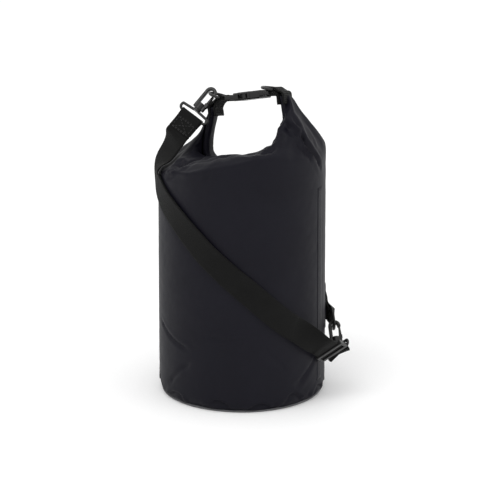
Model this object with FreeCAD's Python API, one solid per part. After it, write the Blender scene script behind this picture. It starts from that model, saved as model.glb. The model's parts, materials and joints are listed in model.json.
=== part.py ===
"""Roll-top rope storage bag: a welded fabric tube that stands on a round base, rolled shut and buckled into a
carrying loop, with a clip-on shoulder strap. Millimetres, +Z up, origin at the centre of the base on the floor,
-Y the front. The rolled mouth runs along MOUTH, which is turned from the X axis."""
import FreeCAD, Part

import math
import os

V = FreeCAD.Vector

# ---- bag ----
BAG_R = 100.0
WALL = 0.8
CORNER_R = 14.0              # soft lower corner
BASE_R = BAG_R - CORNER_R + 6.0
TUBE_TOP = 262.0             # the straight tube ends here and the shoulders begin
SEAM_W = 14.0                # welded side seam, an overlap strip
SEAM_T = 0.8
MOUTH_TURN = -22.0           # degrees from the X axis to the rolled mouth, about Z

# ---- rolled closure ----
ROLL_W = 25.0                # depth of the flattened roll
ROLL_T = 10.0
STIFFENER_W = 20.0
STIFFENER_T = 1.0
STIFFENER_GAP = 3.4          # between the two strips
TIP_T = 6.0                  # the roll's ends, flattened for the webbing
TIP_W = 24.0
TIP_H = 14.0

# ---- webbing and rings ----
TAB_W = 25.0
TAB_T = 1.6
STRAP_W = 30.0
STRAP_T = 1.6
ROD_R = 1.7                  # rings
RING_ARC_R = 14.9
RING_CORNER_R = 2.6
RING_DEPTH = RING_ARC_R + RING_CORNER_R

# ---- side-release buckle, in its own frame: X along it, Y its width ----
BUCKLE_W = 33.0
BUCKLE_T = 9.4
BUCKLE_CENTRE = V(11.9, -4.8, 364.7)
BUCKLE_RISE = 12.9           # degrees, the right end is the higher
BUCKLE_TILT = 14.0           # degrees, the front edge is the higher
SPLIT_X = 4.0                # where the two halves meet
FEMALE_END = -28.5
MALE_END = 28.5
BAR_X = 26.5
BAR_R = 2.0
ARM_ROOT_X = 12.0
ARM_ROOT_Y = 10.4
ARM_TIP_X = -9.0
LEFT_RING_BAR = (-36.5, 1.5)
LEFT_RING_LIFT = 25.0
RIGHT_RING_BAR = (32.5, 3.5)
RIGHT_RING_LIFT = 15.0       # degrees above the buckle's line

# ---- swivel hooks ----
EYE_HALF = 3.4
HOOK_ARM = 4.0
HOOK_T = 5.6
ARCH_Z = 24.8
NOSE_Z = 23.2
GATE_PIVOT = (5.4, 9.3)
GATE_T = 2.5
SADDLE = ARCH_Z + EYE_HALF - ROD_R - 1.2      # where a ring's rod lies in the eye
POST_R = 2.5
RING_BAR_Z = -10.5           # the strap's bar below the hook's foot
UPPER_AXIS = V(0.634, 0.345, 0.692)
LOWER_BAR = V(114.5, -29.9, 53.4)
LOWER_AXIS = V(-0.106, 0.747, 0.656)
LOWER_BAR_DIR = V(0.608, -0.456, 0.649)

# ---- slider ----
SLIDER_L = 20.0
SLIDER_W = 36.5
SLIDER_CENTRE = V(106.3, -47.6, 60.6)
STRAP_END_DIR = V(0.402, 0.787, -0.467)
STRAP_END_ACROSS = V(0.805, -0.062, 0.588)

STRAP_R = BAG_R + 0.6 + STRAP_T / 2
STRAIGHT = 27.0              # of the strap above the slider's middle
UPPER_END_LEN = 22.0         # sewn double end below the upper bar


# ---------------------------------------------------------------- helpers
def unit(v):
    return V(v).normalize()


def turn(angle, v):
    """v turned about Z by angle degrees."""
    a = math.radians(angle)
    return V(v.x * math.cos(a) - v.y * math.sin(a), v.x * math.sin(a) + v.y * math.cos(a), v.z)


MOUTH = turn(MOUTH_TURN, V(1, 0, 0))
ACROSS = turn(MOUTH_TURN, V(0, 1, 0))
UP = V(0, 0, 1)


class Frame:
    """A local frame: z is kept exactly, x as nearly as it can be."""

    def __init__(self, origin, z, x):
        self.o = V(origin)
        self.z = unit(z)
        self.y = unit(self.z.cross(x))
        self.x = self.y.cross(self.z)

    def put(self, shape):
        s = shape.copy()
        s.Placement = FreeCAD.Placement(self.o, FreeCAD.Rotation(self.x, self.y, self.z, "ZXY"))
        return s

    def at(self, x, y, z):
        return self.o + self.x * x + self.y * y + self.z * z


def box(x0, x1, y0, y1, z0, z1):
    return Part.makeBox(x1 - x0, y1 - y0, z1 - z0, V(x0, y0, z0))


def rod(a, b, r):
    d = V(b) - V(a)
    return Part.makeCylinder(r, d.Length, V(a), d)


def bend(centre, axis, start, angle, r):
    """Part of a round rod: a disc of radius r at start, turned about centre and axis."""
    radial = V(start) - V(centre)
    tangent = V(axis).cross(radial)
    disc = Part.Face(Part.Wire(Part.makeCircle(r, V(start), tangent)))
    return disc.revolve(V(centre), V(axis), angle)


def fuse(shapes):
    whole = shapes[0].multiFuse(shapes[1:]) if len(shapes) > 1 else shapes[0]
    return whole.removeSplitter()


def softened(shape, radius, keep=lambda e: True):
    """The shape with its chosen edges rounded, or as it was where they can't be."""
    edges = [e for e in shape.Edges if keep(e)]
    for r in (radius, radius * 0.5):
        try:
            rounded = shape.makeFillet(r, edges)
            if rounded.isValid() and rounded.Volume > 0:
                return rounded
        except Exception:
            continue
    return shape


def prism(points, height, direction):
    """A straight prism on a closed outline of points."""
    wire = Part.makePolygon([V(p) for p in points] + [V(points[0])])
    return Part.Face(wire).extrude(V(direction) * height)


def ribbon(stations, width, thickness):
    """A strip of webbing as one closed solid. A station is its centre point and outward normal."""
    n = len(stations)
    rings = []
    for i, (p, normal) in enumerate(stations):
        ahead, behind = stations[min(i + 1, n - 1)][0], stations[max(i - 1, 0)][0]
        along = unit(ahead - behind)
        across = unit(along.cross(normal))
        out = unit(across.cross(along))
        w, t = across * (width / 2), out * (thickness / 2)
        rings.append([p - w - t, p + w - t, p + w + t, p - w + t])
    faces = []
    for a, b in zip(rings, rings[1:]):
        for k in range(4):
            m = (k + 1) % 4
            faces.append(Part.Face(Part.makePolygon([a[k], a[m], b[m], a[k]])))
            faces.append(Part.Face(Part.makePolygon([a[k], b[m], b[k], a[k]])))
    for ring in (rings[0], rings[-1]):
        faces.append(Part.Face(Part.makePolygon([ring[0], ring[1], ring[2], ring[0]])))
        faces.append(Part.Face(Part.makePolygon([ring[0], ring[2], ring[3], ring[0]])))
    solid = Part.Solid(Part.makeShell(faces))
    if solid.Volume < 0:
        solid.reverse()
    return solid


def smooth(keys, steps):
    """Stations through (point, normal) keys, on a Catmull-Rom curve."""
    def mix(a, b, c, d, t):
        return (b * 2 + (c - a) * t + (a * 2 - b * 5 + c * 4 - d) * (t * t)
                + (b * 3 - a - c * 3 + d) * (t * t * t)) * 0.5
    made = []
    for i in range(len(keys) - 1):
        p0, p1, p2, p3 = keys[max(i - 1, 0)], keys[i], keys[i + 1], keys[min(i + 2, len(keys) - 1)]
        for k in range(steps):
            t = k / steps
            made.append((mix(p0[0], p1[0], p2[0], p3[0], t), p1[1] * (1 - t) + p2[1] * t))
    made.append(keys[-1])
    return made


def on_bag(angle, z, r=STRAP_R):
    """A point beside the bag's wall and its outward normal. Angle 0 is the front and 90 the right."""
    a = math.radians(angle)
    out = V(math.sin(a), -math.cos(a), 0)
    return (V(out.x * r, out.y * r, z), out)


# ---------------------------------------------------------------- bag shell
def body_tube():
    """The fabric tube with its soft lower corner, open at the top and the base."""
    r, c = BAG_R, CORNER_R
    low = V(BASE_R, 0, 0.6)
    corner_mid = V(r - c + c * math.sin(math.radians(52)), 0, c - c * math.cos(math.radians(52)) + 0.6)
    high = V(r, 0, c + 2)
    outer = Part.Arc(low, corner_mid, high).toShape()
    inner = Part.Arc(low + V(-0.4, 0, WALL), corner_mid + V(-WALL * 0.75, 0, WALL * 0.75),
                     high + V(-WALL, 0, 0)).toShape()
    top_o, top_i = V(r, 0, TUBE_TOP), V(r - WALL, 0, TUBE_TOP)
    wire = Part.Wire([
        outer, Part.makeLine(high, top_o), Part.makeLine(top_o, top_i),
        Part.makeLine(top_i, high + V(-WALL, 0, 0)), inner,
        Part.makeLine(low + V(-0.4, 0, WALL), low),
    ])
    return Part.Face(wire).revolve(V(0, 0, 0), UP, 360)


def base_disc():
    return Part.makeCylinder(BASE_R - 2.2, WALL)


def base_seam():
    """The welded lip that joins the base disc to the tube."""
    lip = Part.makeCylinder(BASE_R + 2.6, 0.6)
    lip = lip.cut(Part.makeCylinder(BASE_R - 2.2, 0.6))
    bead = Part.makeCylinder(BASE_R - 0.4, 1.9, V(0, 0, 0.6)).cut(
        Part.makeCylinder(BASE_R - 2.2, 1.9, V(0, 0, 0.6)))
    return fuse([lip, bead])


def side_seam():
    """The welded overlap that closes the tube, in line with the right end of the mouth."""
    ring = Part.makeCylinder(BAG_R + SEAM_T, TUBE_TOP - 26, V(0, 0, 24)).cut(
        Part.makeCylinder(BAG_R, TUBE_TOP - 26, V(0, 0, 24)))
    strip = box(BAG_R - 5, BAG_R + 5, -SEAM_W / 2, SEAM_W / 2, 20, TUBE_TOP)
    strip.rotate(V(0, 0, 0), UP, MOUTH_TURN)
    return ring.common(strip)


# ---------------------------------------------------------------- rolled closure
ROLL_PATH = [                # along the mouth and up, from the left end to the right end
    (-39.5, 330.0), (-43.0, 316.0), (-45.5, 302.0), (-45.0, 289.0), (-38.0, 280.0), (-24.0, 275.5),
    (0.0, 274.0), (22.0, 277.0), (36.0, 284.0), (45.0, 296.0), (50.5, 312.0), (56.0, 328.0), (59.5, 343.0),
]
TROUGH_ENDS = (-58.0, 64.0)  # the hollow that the roll lies in, along the mouth
TROUGH = [(-42.0, 334.0), (42.0, 334.0), (14.0, 283.0), (13.6, 268.4), (-13.6, 268.4), (-14.0, 283.0)]
FABRIC = 3.0                 # thickness of the folded, padded-looking shoulders


def mouth_point(m, z, q=0.0):
    return MOUTH * m + ACROSS * q + UP * z


def band(path, offset_in, offset_out, width):
    """A strip that follows the roll's path, between two offsets from it, centred across the mouth."""
    inner, outer = [], []
    for i, (m, z) in enumerate(path):
        a, b = path[max(i - 1, 0)], path[min(i + 1, len(path) - 1)]
        dm, dz = b[0] - a[0], b[1] - a[1]
        length = math.hypot(dm, dz)
        nm, nz = -dz / length, dm / length
        inner.append(mouth_point(m + nm * offset_in, z + nz * offset_in, -width / 2))
        outer.append(mouth_point(m + nm * offset_out, z + nz * offset_out, -width / 2))
    return prism(inner + outer[::-1], width, ACROSS)


def stiffener(side):
    centre = side * STIFFENER_GAP / 2
    return band(ROLL_PATH, centre - STIFFENER_T / 2, centre + STIFFENER_T / 2, STIFFENER_W)


def closure_roll():
    roll = band(ROLL_PATH, -ROLL_T / 2, ROLL_T / 2, ROLL_W)
    return roll.cut(stiffener(-1)).cut(stiffener(1))


def rectangle(frame, half_x, half_y, z):
    corners = [frame.at(sx * half_x, sy * half_y, z) for sx, sy in ((-1, -1), (1, -1), (1, 1), (-1, 1))]
    return Part.makePolygon(corners + [corners[0]])


def buckle_frame():
    rise, tilt = math.radians(BUCKLE_RISE), math.radians(BUCKLE_TILT)
    along = MOUTH * math.cos(rise) + UP * math.sin(rise)
    normal = UP * math.cos(rise) - MOUTH * math.sin(rise)
    return Frame(BUCKLE_CENTRE, normal * math.cos(tilt) + ACROSS * math.sin(tilt), along)


TOP = buckle_frame()
LEFT_TIP_X, LEFT_TIP_Z = -49.0, -6.0
RIGHT_TIP_X, RIGHT_TIP_Z = 41.0, -2.0


def ear_tip(tip_x, tip_z, end):
    """The roll's end: a loft from the end of the band to a flat prism that the webbing wraps."""
    flat = Frame(TOP.at(tip_x, 0, tip_z), TOP.z, TOP.x)
    block = flat.put(box(-TIP_T / 2, TIP_T / 2, -TIP_W / 2, TIP_W / 2, -TIP_H, 0))
    (m, z), (m_below, z_below) = ROLL_PATH[end], ROLL_PATH[end + 1 if end == 0 else end - 1]
    rise = unit(mouth_point(m - m_below, z - z_below))
    root = Frame(mouth_point(m, z) + rise * 0.3, rise, MOUTH)
    loft = Part.makeLoft([rectangle(root, ROLL_T / 2, ROLL_W / 2, 0),
                          rectangle(flat, TIP_T / 2, TIP_W / 2, -TIP_H)], True, True)
    return fuse([block, loft])


def section(m_centre, half_m, half_q, z, n=2.4, slope=0.0, fall=0.0):
    """A closed, rounded section of the shoulders at a height; slope is its rise towards the mouth's right end, and
    fall its drop towards the back."""
    points = []
    for k in range(36):
        a = math.radians(10 * k)
        c, s = math.cos(a), math.sin(a)
        m = half_m * math.copysign(abs(c) ** (2 / n), c)
        q = half_q * math.copysign(abs(s) ** (2 / n), s)
        points.append(mouth_point(m_centre + m, z + slope * m - fall * q, q))
    curve = Part.BSplineCurve()
    curve.interpolate(points, PeriodicFlag=True)
    return Part.Wire(curve.toShape())


def shoulders(inset, z0):
    """The shoulders' outer form, or the same drawn in by an inset: round at the tube, then towards the mouth."""
    r = BAG_R - 0.2 - inset
    return Part.makeLoft([
        section(0, r, r, z0, 2.0),
        section(8, 88 - inset, 89 - inset, 288 - inset * 0.6, 2.05, 0.06, 0.08),
        section(6, 72 - inset, 57 - inset, 301 - inset, 2.3, 0.12, 0.28),
    ], True, False)


def trough(grow):
    """The space the roll lies in, sunk between the front and the back panel."""
    (q0, z0), (q1, z1), (q2, z2), (q3, z3), (q4, z4), (q5, z5) = TROUGH
    outline = [(q0 - grow, z0), (q1 + grow, z1), (q2 + grow, z2 - grow * 0.4), (q3 + grow, z3 - grow),
               (q4 - grow, z4 - grow), (q5 - grow, z5 - grow * 0.4)]
    low, high = TROUGH_ENDS[0] - grow, TROUGH_ENDS[1] + grow
    return prism([mouth_point(low, z, q) for q, z in outline], high - low, MOUTH)


def collar(roll_space):
    """The shoulders: the tube's upper length, drawn in to the roll and up into the two ears."""
    shell = shoulders(0, TUBE_TOP + 0.3).cut(trough(0))
    cavity = shoulders(FABRIC, TUBE_TOP + 0.2).cut(trough(FABRIC))
    right_ear = Part.makeLoft([
        section(70, 30, 26, 290, 2.3), section(64, 25.5, 20.5, 316, 2.3), section(60.5, 12.5, 14.8, 340, 2.8),
    ], True, False)
    left_ear = Part.makeLoft([
        section(-60, 23, 25, 281, 2.3), section(-53.5, 15.5, 19.5, 299, 2.3), section(-46.5, 8.2, 14.6, 313, 2.8),
    ], True, False)
    return fuse([shell.cut(cavity), right_ear, left_ear]).cut(roll_space)


# ---------------------------------------------------------------- rings, webbing tabs
def d_ring():
    """A round-rod D ring: its straight bar on the local X axis, its bow towards +Z."""
    c, a, r = RING_CORNER_R, RING_ARC_R, ROD_R
    half = a - c
    return fuse([
        rod((-half, 0, 0), (half, 0, 0), r),
        bend((half, 0, c), (0, -1, 0), (half, 0, 0), 90, r),
        bend((0, 0, c), (0, -1, 0), (a, 0, c), 180, r),
        bend((-half, 0, c), (0, -1, 0), (-a, 0, c), 90, r),
    ])


def link(points, thickness):
    """A folded run of webbing seen along its width: a bar of the given thickness through (x, z) points."""
    pieces = []
    for (x0, z0), (x1, z1) in zip(points, points[1:]):
        dx, dz = x1 - x0, z1 - z0
        length = math.hypot(dx, dz)
        nx, nz = -dz / length * thickness / 2, dx / length * thickness / 2
        pieces.append(prism([(x0 + nx, -TAB_W / 2, z0 + nz), (x1 + nx, -TAB_W / 2, z1 + nz),
                             (x1 - nx, -TAB_W / 2, z1 - nz), (x0 - nx, -TAB_W / 2, z0 - nz)],
                            TAB_W, V(0, 1, 0)))
    for x, z in points[1:-1]:
        pieces.append(eyelet(x, z, thickness / 2))
    return pieces


def eyelet(x, z, r, half=TAB_W / 2):
    return Part.makeCylinder(r, 2 * half, V(x, -half, z), V(0, 1, 0))


def webbing_tab(tip_x, tip_z, ring_bar, bar_x):
    """Webbing sewn over the roll's end, then through the ring's bar and the buckle's bar."""
    over = TIP_T / 2 + TAB_T
    cap = box(tip_x - over, tip_x + over, -TAB_W / 2, TAB_W / 2, tip_z - TIP_H + 1, tip_z + TAB_T)
    knee = (tip_x + math.copysign(2.5, bar_x - tip_x), tip_z + 1.0)
    shape = [cap] + link([knee, ring_bar, (bar_x, 0)], 3.2)
    shape += [eyelet(ring_bar[0], ring_bar[1], ROD_R + TAB_T), eyelet(bar_x, 0, BAR_R + TAB_T)]
    whole = fuse(shape)
    whole = whole.cut(eyelet(ring_bar[0], ring_bar[1], ROD_R + 0.15, 20))
    whole = whole.cut(eyelet(bar_x, 0, BAR_R + 0.05, 20))
    slot = box(tip_x - TIP_T / 2, tip_x + TIP_T / 2, -20, 20, tip_z - TIP_H - 5, tip_z)
    return TOP.put(whole.cut(slot))


# ---------------------------------------------------------------- side-release buckle
def cavity():
    """The socket's inside, open towards the plug."""
    inner = box(-13, SPLIT_X + 1, -13.4, 13.4, -2.7, 2.7)
    windows = box(-11.0, 1.3, -20, 20, -2.7, 2.7)
    return fuse([inner, windows])


def buckle_female():
    half_w, half_t = BUCKLE_W / 2, BUCKLE_T / 2
    shell = box(-17, SPLIT_X, -half_w, half_w, -half_t, half_t)
    shell = softened(shell, 2.6, lambda e: abs(e.Vertexes[0].Point.x - e.Vertexes[-1].Point.x) > 5)
    shell = shell.cut(cavity())
    tail = []
    for side in (-1, 1):
        y0, y1 = sorted((side * (half_w - 3.2), side * half_w))
        tail.append(softened(box(FEMALE_END, -16.5, y0, y1, -2.4, 2.4), 1.0))
    tail.append(eyelet(-BAR_X, 0, BAR_R, half_w - 1))
    rib = [softened(box(-15, 0.5, y - 1, y + 1, half_t - 0.4, half_t + 0.5), 0.3) for y in (-6, 0, 6)]
    return TOP.put(fuse([shell] + tail + rib))


def buckle_male():
    half_w, half_t = BUCKLE_W / 2, BUCKLE_T / 2
    x0 = SPLIT_X + 0.3
    plate = box(x0, 17, -half_w, half_w, -half_t, half_t)
    plate = softened(plate, 2.4, lambda e: abs(e.Vertexes[0].Point.x - e.Vertexes[-1].Point.x) > 5)
    for side in (-1, 1):
        y0, y1 = sorted((side * 7.6, side * 13.0))
        plate = plate.cut(box(x0 - 1, ARM_ROOT_X + 2.6, y0, y1, -2.7, 2.7))
    tongue = softened(box(-11, x0 + 2, -3.4, 3.4, -1.9, 1.9), 0.8,
                      lambda e: abs(e.Vertexes[0].Point.x + 11) < 1e-6)
    rails = []
    for side in (-1, 1):
        y0, y1 = sorted((side * (half_w - 3.2), side * half_w))
        rails.append(softened(box(16.5, MALE_END, y0, y1, -2.2, 2.2), 0.9))
    return TOP.put(fuse([plate, tongue, eyelet(BAR_X, 0, BAR_R, half_w - 1)] + rails))


def release_arm(side):
    """One springing arm of the plug: a slim leg with the barb that shows in the socket's side window."""
    leg = [(ARM_ROOT_X, 12.2), (ARM_ROOT_X, 8.6), (-2, 8.9), (-5, 9.3), (ARM_TIP_X + 0.6, 10.6),
           (ARM_TIP_X, 11.6), (-7.0, 14.4), (-3.2, 16.2), (-1.2, 16.0), (-1.2, 12.6), (4.0, 12.0)]
    points = [(x, side * y, -2.3) for x, y in leg]
    arm = prism(points, 4.6, V(0, 0, 1))
    root = Part.makeCylinder(1.8, 4.6, V(ARM_ROOT_X, side * ARM_ROOT_Y, -2.3))
    return TOP.put(fuse([arm, root]))


# ---------------------------------------------------------------- swivel hooks
def hook_body():
    """A moulded hook with an open side for its gate, and a barrel that turns on the ring's post."""
    e, a, t = EYE_HALF, HOOK_ARM, HOOK_T / 2
    arm = box(-e - a, -e, -t, t, 6, ARCH_Z)
    profile = Part.Face(Part.makePolygon([V(-e - a, -t, ARCH_Z), V(-e, -t, ARCH_Z), V(-e, t, ARCH_Z),
                                          V(-e - a, t, ARCH_Z), V(-e - a, -t, ARCH_Z)]))
    arch = profile.revolve(V(0, 0, ARCH_Z), V(0, 1, 0), 180)
    nose = box(e, e + a, -t, t, NOSE_Z, ARCH_Z)
    foot = box(-e - a, e + a, -t, t, 0.4, 7.0)
    bowed = fuse([arm, arch, nose, foot])
    bowed = softened(bowed, 1.2, lambda k: k.Length > 3)
    barrel = Part.makeCylinder(5.2, 8.2, V(0, 0, 0.4))
    whole = fuse([bowed, barrel])
    bore = Part.makeCylinder(POST_R + 0.15, 6, V(0, 0, -1))
    pocket = Part.makeCylinder(POST_R + 1.25, 2.2, V(0, 0, 4.9))
    pivot = box(GATE_PIVOT[0] - 2.4, GATE_PIVOT[0] + 3.5, -1.7, 1.7, 6.2, 12.5)
    pin = Part.makeCylinder(0.9, 5, V(GATE_PIVOT[0], -2.5, GATE_PIVOT[1]), V(0, 1, 0))
    ears = [softened(box(GATE_PIVOT[0] - 1.9, GATE_PIVOT[0] + 2.4, *y, 6.5, 11.6), 0.6)
            for y in ((-t, -1.7), (1.7, t))]
    whole = fuse([whole] + ears).cut(pivot).cut(pocket).cut(bore)
    return fuse([whole, pin])


def hook_gate():
    """The sprung gate: a flat bar from its pivot to the nose."""
    x, z = GATE_PIVOT
    top = NOSE_Z - 0.3
    bar = prism([(x - GATE_T / 2, -2.6, z + 2.6), (x + GATE_T / 2 + 0.6, -2.6, z + 2.6),
                 (x + GATE_T / 2 - 0.2, -2.6, top), (x - GATE_T / 2 + 0.3, -2.6, top)], 5.2, V(0, 1, 0))
    bar = softened(bar, 0.7)
    root = box(x - 1.4, x + 1.4, -1.5, 1.5, z, z + 4)
    knuckle = Part.makeCylinder(2.0, 3.0, V(x, -1.5, z), V(0, 1, 0))
    hole = Part.makeCylinder(1.0, 6, V(x, -3, z), V(0, 1, 0))
    return fuse([bar, root, knuckle]).cut(hole)


def swivel_ring():
    """The strap's loop: a rounded D with a headed post that the hook turns on."""
    r, z = ROD_R, RING_BAR_Z
    half, corner = STRAP_W / 2 + 0.5, 4.2
    hub_side = V(3.4, 0, -2.4)
    pieces = [rod((-half, 0, z), (half, 0, z), r)]
    for side in (-1, 1):
        arc = bend((half, 0, z + corner), (0, -1, 0), (half, 0, z), 128, r)
        end_angle = math.radians(38)
        start = V(half + corner * math.cos(end_angle), 0, z + corner + corner * math.sin(end_angle))
        leg = rod(start, hub_side, r)
        joint = Part.makeSphere(r, start)
        for piece in (arc, leg, joint):
            pieces.append(piece if side == 1 else piece.mirror(V(0, 0, 0), V(1, 0, 0)))
    hub = Part.makeCylinder(4.6, 3.4, V(0, 0, -3.4))
    post = Part.makeCylinder(POST_R, 8.0, V(0, 0, -2.0))
    head = Part.makeCylinder(POST_R + 1.0, 1.6, V(0, 0, 5.2))
    return fuse(pieces + [hub, post, head])


def hook_frames():
    """Frames for the upper hook, the lower hook and the lower ring, whose plane differs from its hook's."""
    upper_axis, lower_axis = unit(UPPER_AXIS), unit(LOWER_AXIS)
    apex = LEFT_RING.at(0, 0, RING_DEPTH)
    upper = Frame(apex - upper_axis * SADDLE, upper_axis, upper_axis.cross(TOP.y) * -1)
    foot = LOWER_BAR - lower_axis * RING_BAR_Z
    lower_hook = Frame(foot, lower_axis, V(1, 0.046, 0))
    lower_ring = Frame(foot, lower_axis, LOWER_BAR_DIR)
    return upper, lower_hook, lower_ring


def closure_ring_frame(bar, lift):
    """A ring with its bar in a closure tab: lift is its bow's rise, in degrees above the buckle's line to the
    left."""
    a = math.radians(lift)
    return Frame(TOP.at(bar[0], 0, bar[1]), TOP.z * math.sin(a) - TOP.x * math.cos(a), TOP.y)


LEFT_RING = closure_ring_frame(LEFT_RING_BAR, LEFT_RING_LIFT)
RIGHT_RING = closure_ring_frame(RIGHT_RING_BAR, RIGHT_RING_LIFT)
UPPER, LOWER_HOOK, LOWER_RING = hook_frames()
LOWER_APEX = LOWER_HOOK.at(0, 0, SADDLE)


def lower_ring_frame():
    """The ring low on the bag: its bow reaches from the tab to the lower hook."""
    inward = V(-0.2, 0.85, 0.49).normalize()
    return Frame(LOWER_APEX + inward * RING_DEPTH, inward * -1, LOWER_HOOK.y)


LOW_RING = lower_ring_frame()


# ---------------------------------------------------------------- shoulder strap
def strap_stations():
    """The strap's centre line with its outward normals, from the upper sewn end to past the slider."""
    start = UPPER.at(0, 0, RING_BAR_Z - UPPER_END_LEN - 0.9)
    front = UPPER.y * (-1 if UPPER.y.y > 0 else 1)
    keys = [(start, front), (start - UPPER.z * 7, front), (V(-84.5, 0.0, 299.5), unit(front + V(-0.7, 0, 0.1))),
            (V(-95.0, -3.0, 283.0), unit(V(-0.93, -0.5, 0.25)))]
    for angle, z in ((-82, 268), (-74, 258), (-63, 247), (-52, 235.8), (-41, 221.5), (-32, 208), (-23.6, 194.3),
                     (-10, 173.5), (3.4, 153), (14, 135.5), (24.7, 118), (34, 104.5)):
        keys.append(on_bag(angle, z))
    end_normal = unit(STRAP_END_DIR.cross(STRAP_END_ACROSS))
    along = unit(STRAP_END_DIR)
    keys.append(on_bag(41, 95.5, STRAP_R + 2))
    keys.append((SLIDER_CENTRE - along * STRAIGHT, end_normal))
    straight = [(SLIDER_CENTRE + along * k, end_normal) for k in (-18.0, -9.0, 0.0, 9.0)]
    return smooth(keys, 3) + straight


def sewn_end(frame, length, tail_dir):
    """The webbing's sewn loop round a ring's bar, with its doubled tail along tail_dir."""
    bar = frame.at(0, 0, RING_BAR_Z)
    across = frame.x
    local = Frame(bar, across, tail_dir)
    half = STRAP_W / 2
    loop = Part.makeCylinder(ROD_R + 0.2 + STRAP_T, STRAP_W, V(0, 0, -half))
    tail = box(0, length, -STRAP_T, STRAP_T, -half, half)
    reach = min(8.0, length)
    neck = prism([(0, -3.4, -half), (reach, -STRAP_T, -half), (reach, STRAP_T, -half), (0, 3.4, -half)],
                 STRAP_W, V(0, 0, 1))
    whole = fuse([loop, tail, neck]).cut(Part.makeCylinder(ROD_R + 0.2, STRAP_W + 4, V(0, 0, -half - 2)))
    return local.put(whole)


def slider():
    """A three-bar slider: two bars over the webbing and one under it, joined by side rails."""
    half_l, half_w = SLIDER_L / 2, SLIDER_W / 2
    gap, bar_t = STRAP_T / 2 + 0.5, 1.7
    rails = [softened(box(-half_l, half_l, *sorted((s * (STRAP_W / 2 + 0.5), s * half_w)), -gap - bar_t, gap + bar_t),
                      1.0) for s in (-1, 1)]
    over = [softened(box(x - 2.7, x + 2.7, -half_w + 1, half_w - 1, gap, gap + bar_t), 0.8)
            for x in (-half_l + 2.7, half_l - 2.7)]
    under = softened(box(-2.6, 2.6, -half_w + 1, half_w - 1, -gap - bar_t, -gap), 0.8)
    frame = Frame(SLIDER_CENTRE, STRAP_END_DIR.cross(STRAP_END_ACROSS), STRAP_END_DIR)
    return frame.put(fuse(rails + over + [under]))


# ---------------------------------------------------------------- lower anchor
ANCHOR_ANGLE = 109.0         # of the patch's middle, round from the front
ANCHOR_Z = 99.0
PATCH_HALF = 30.0


def anchor_patch():
    """A square reinforcement welded to the wall under the lower tab."""
    shell = Part.makeCylinder(BAG_R + 0.7, 2 * PATCH_HALF, V(0, 0, ANCHOR_Z - PATCH_HALF)).cut(
        Part.makeCylinder(BAG_R, 2 * PATCH_HALF, V(0, 0, ANCHOR_Z - PATCH_HALF)))
    cutter = box(BAG_R - 20, BAG_R + 20, -PATCH_HALF, PATCH_HALF, ANCHOR_Z - PATCH_HALF, ANCHOR_Z + PATCH_HALF)
    cutter = softened(cutter, 9.0, lambda e: abs(e.Vertexes[0].Point.x - e.Vertexes[-1].Point.x) > 30)
    cutter.rotate(V(0, 0, 0), UP, ANCHOR_ANGLE - 90)
    return shell.common(cutter)


def anchor_tab():
    """The webbing tab that holds the lower ring: round its bar, then sewn down on the patch."""
    bar = LOW_RING.o
    loop = Part.makeCylinder(ROD_R + 0.15 + TAB_T, TAB_W, LOW_RING.at(-TAB_W / 2, 0, 0), LOW_RING.x)
    keys = [(bar - LOW_RING.z * 1.5, unit(V(bar.x, bar.y, 0)))]
    start = math.degrees(math.atan2(bar.x, -bar.y))
    for k in range(1, 5):
        keys.append(on_bag(start + 4.4 * k, bar.z + 5.2 * k, BAG_R + 0.7 + 2.1))
    tail = ribbon(smooth(keys, 3), TAB_W, 3.2)
    return fuse([loop, tail]).cut(Part.makeCylinder(ROD_R + 0.15, TAB_W + 8, LOW_RING.at(-TAB_W / 2 - 4, 0, 0),
                                                    LOW_RING.x))


# ---------------------------------------------------------------- all the pieces
def pieces():
    roll_space = fuse([band(ROLL_PATH, -ROLL_T / 2 - 0.3, ROLL_T / 2 + 0.3, ROLL_W + 0.6)])
    right_tip = ear_tip(RIGHT_TIP_X, RIGHT_TIP_Z, -1)
    return {
        "body_tube": body_tube(),
        "base_disc": base_disc(),
        "base_seam": base_seam(),
        "side_seam": side_seam(),
        "shoulder_collar": collar(roll_space),
        "closure_roll": closure_roll(),
        "stiffener_inner": stiffener(1),
        "stiffener_outer": stiffener(-1),
        "ear_tip_left": ear_tip(LEFT_TIP_X, LEFT_TIP_Z, 0),
        "ear_tip_right": right_tip,
        "closure_tab_left": webbing_tab(LEFT_TIP_X, LEFT_TIP_Z, LEFT_RING_BAR, -BAR_X),
        "closure_tab_right": webbing_tab(RIGHT_TIP_X, RIGHT_TIP_Z, RIGHT_RING_BAR, BAR_X),
        "ring_left": LEFT_RING.put(d_ring()),
        "ring_right": RIGHT_RING.put(d_ring()),
        "ring_lower": LOW_RING.put(d_ring()),
        "buckle_socket": buckle_female(),
        "buckle_plug": buckle_male(),
        "release_arm_front": release_arm(-1),
        "release_arm_back": release_arm(1),
        "upper_hook": UPPER.put(hook_body()),
        "upper_gate": UPPER.put(hook_gate()),
        "upper_swivel_ring": UPPER.put(swivel_ring()),
        "lower_hook": LOWER_HOOK.put(hook_body()),
        "lower_gate": LOWER_HOOK.put(hook_gate()),
        "lower_swivel_ring": LOWER_RING.put(swivel_ring()),
        "strap": ribbon(strap_stations(), STRAP_W, STRAP_T),
        "strap_upper_end": sewn_end(UPPER, UPPER_END_LEN, UPPER.z * -1),
        "strap_lower_end": sewn_end(LOWER_RING, 5.0, STRAP_END_DIR * -1),
        "strap_slider": slider(),
        "anchor_patch": anchor_patch(),
        "anchor_tab": anchor_tab(),
    }


def main():
    os.makedirs("parts", exist_ok=True)
    for name, shape in pieces().items():
        good = shape.isValid() and all(s.isClosed() for s in shape.Shells) and shape.Volume > 0
        print(f"{name:20s} solids {len(shape.Solids)} volume {shape.Volume:10.1f} {'ok' if good else 'BAD'}")
        shape.exportStep(f"parts/{name}.step")


main()
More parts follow.
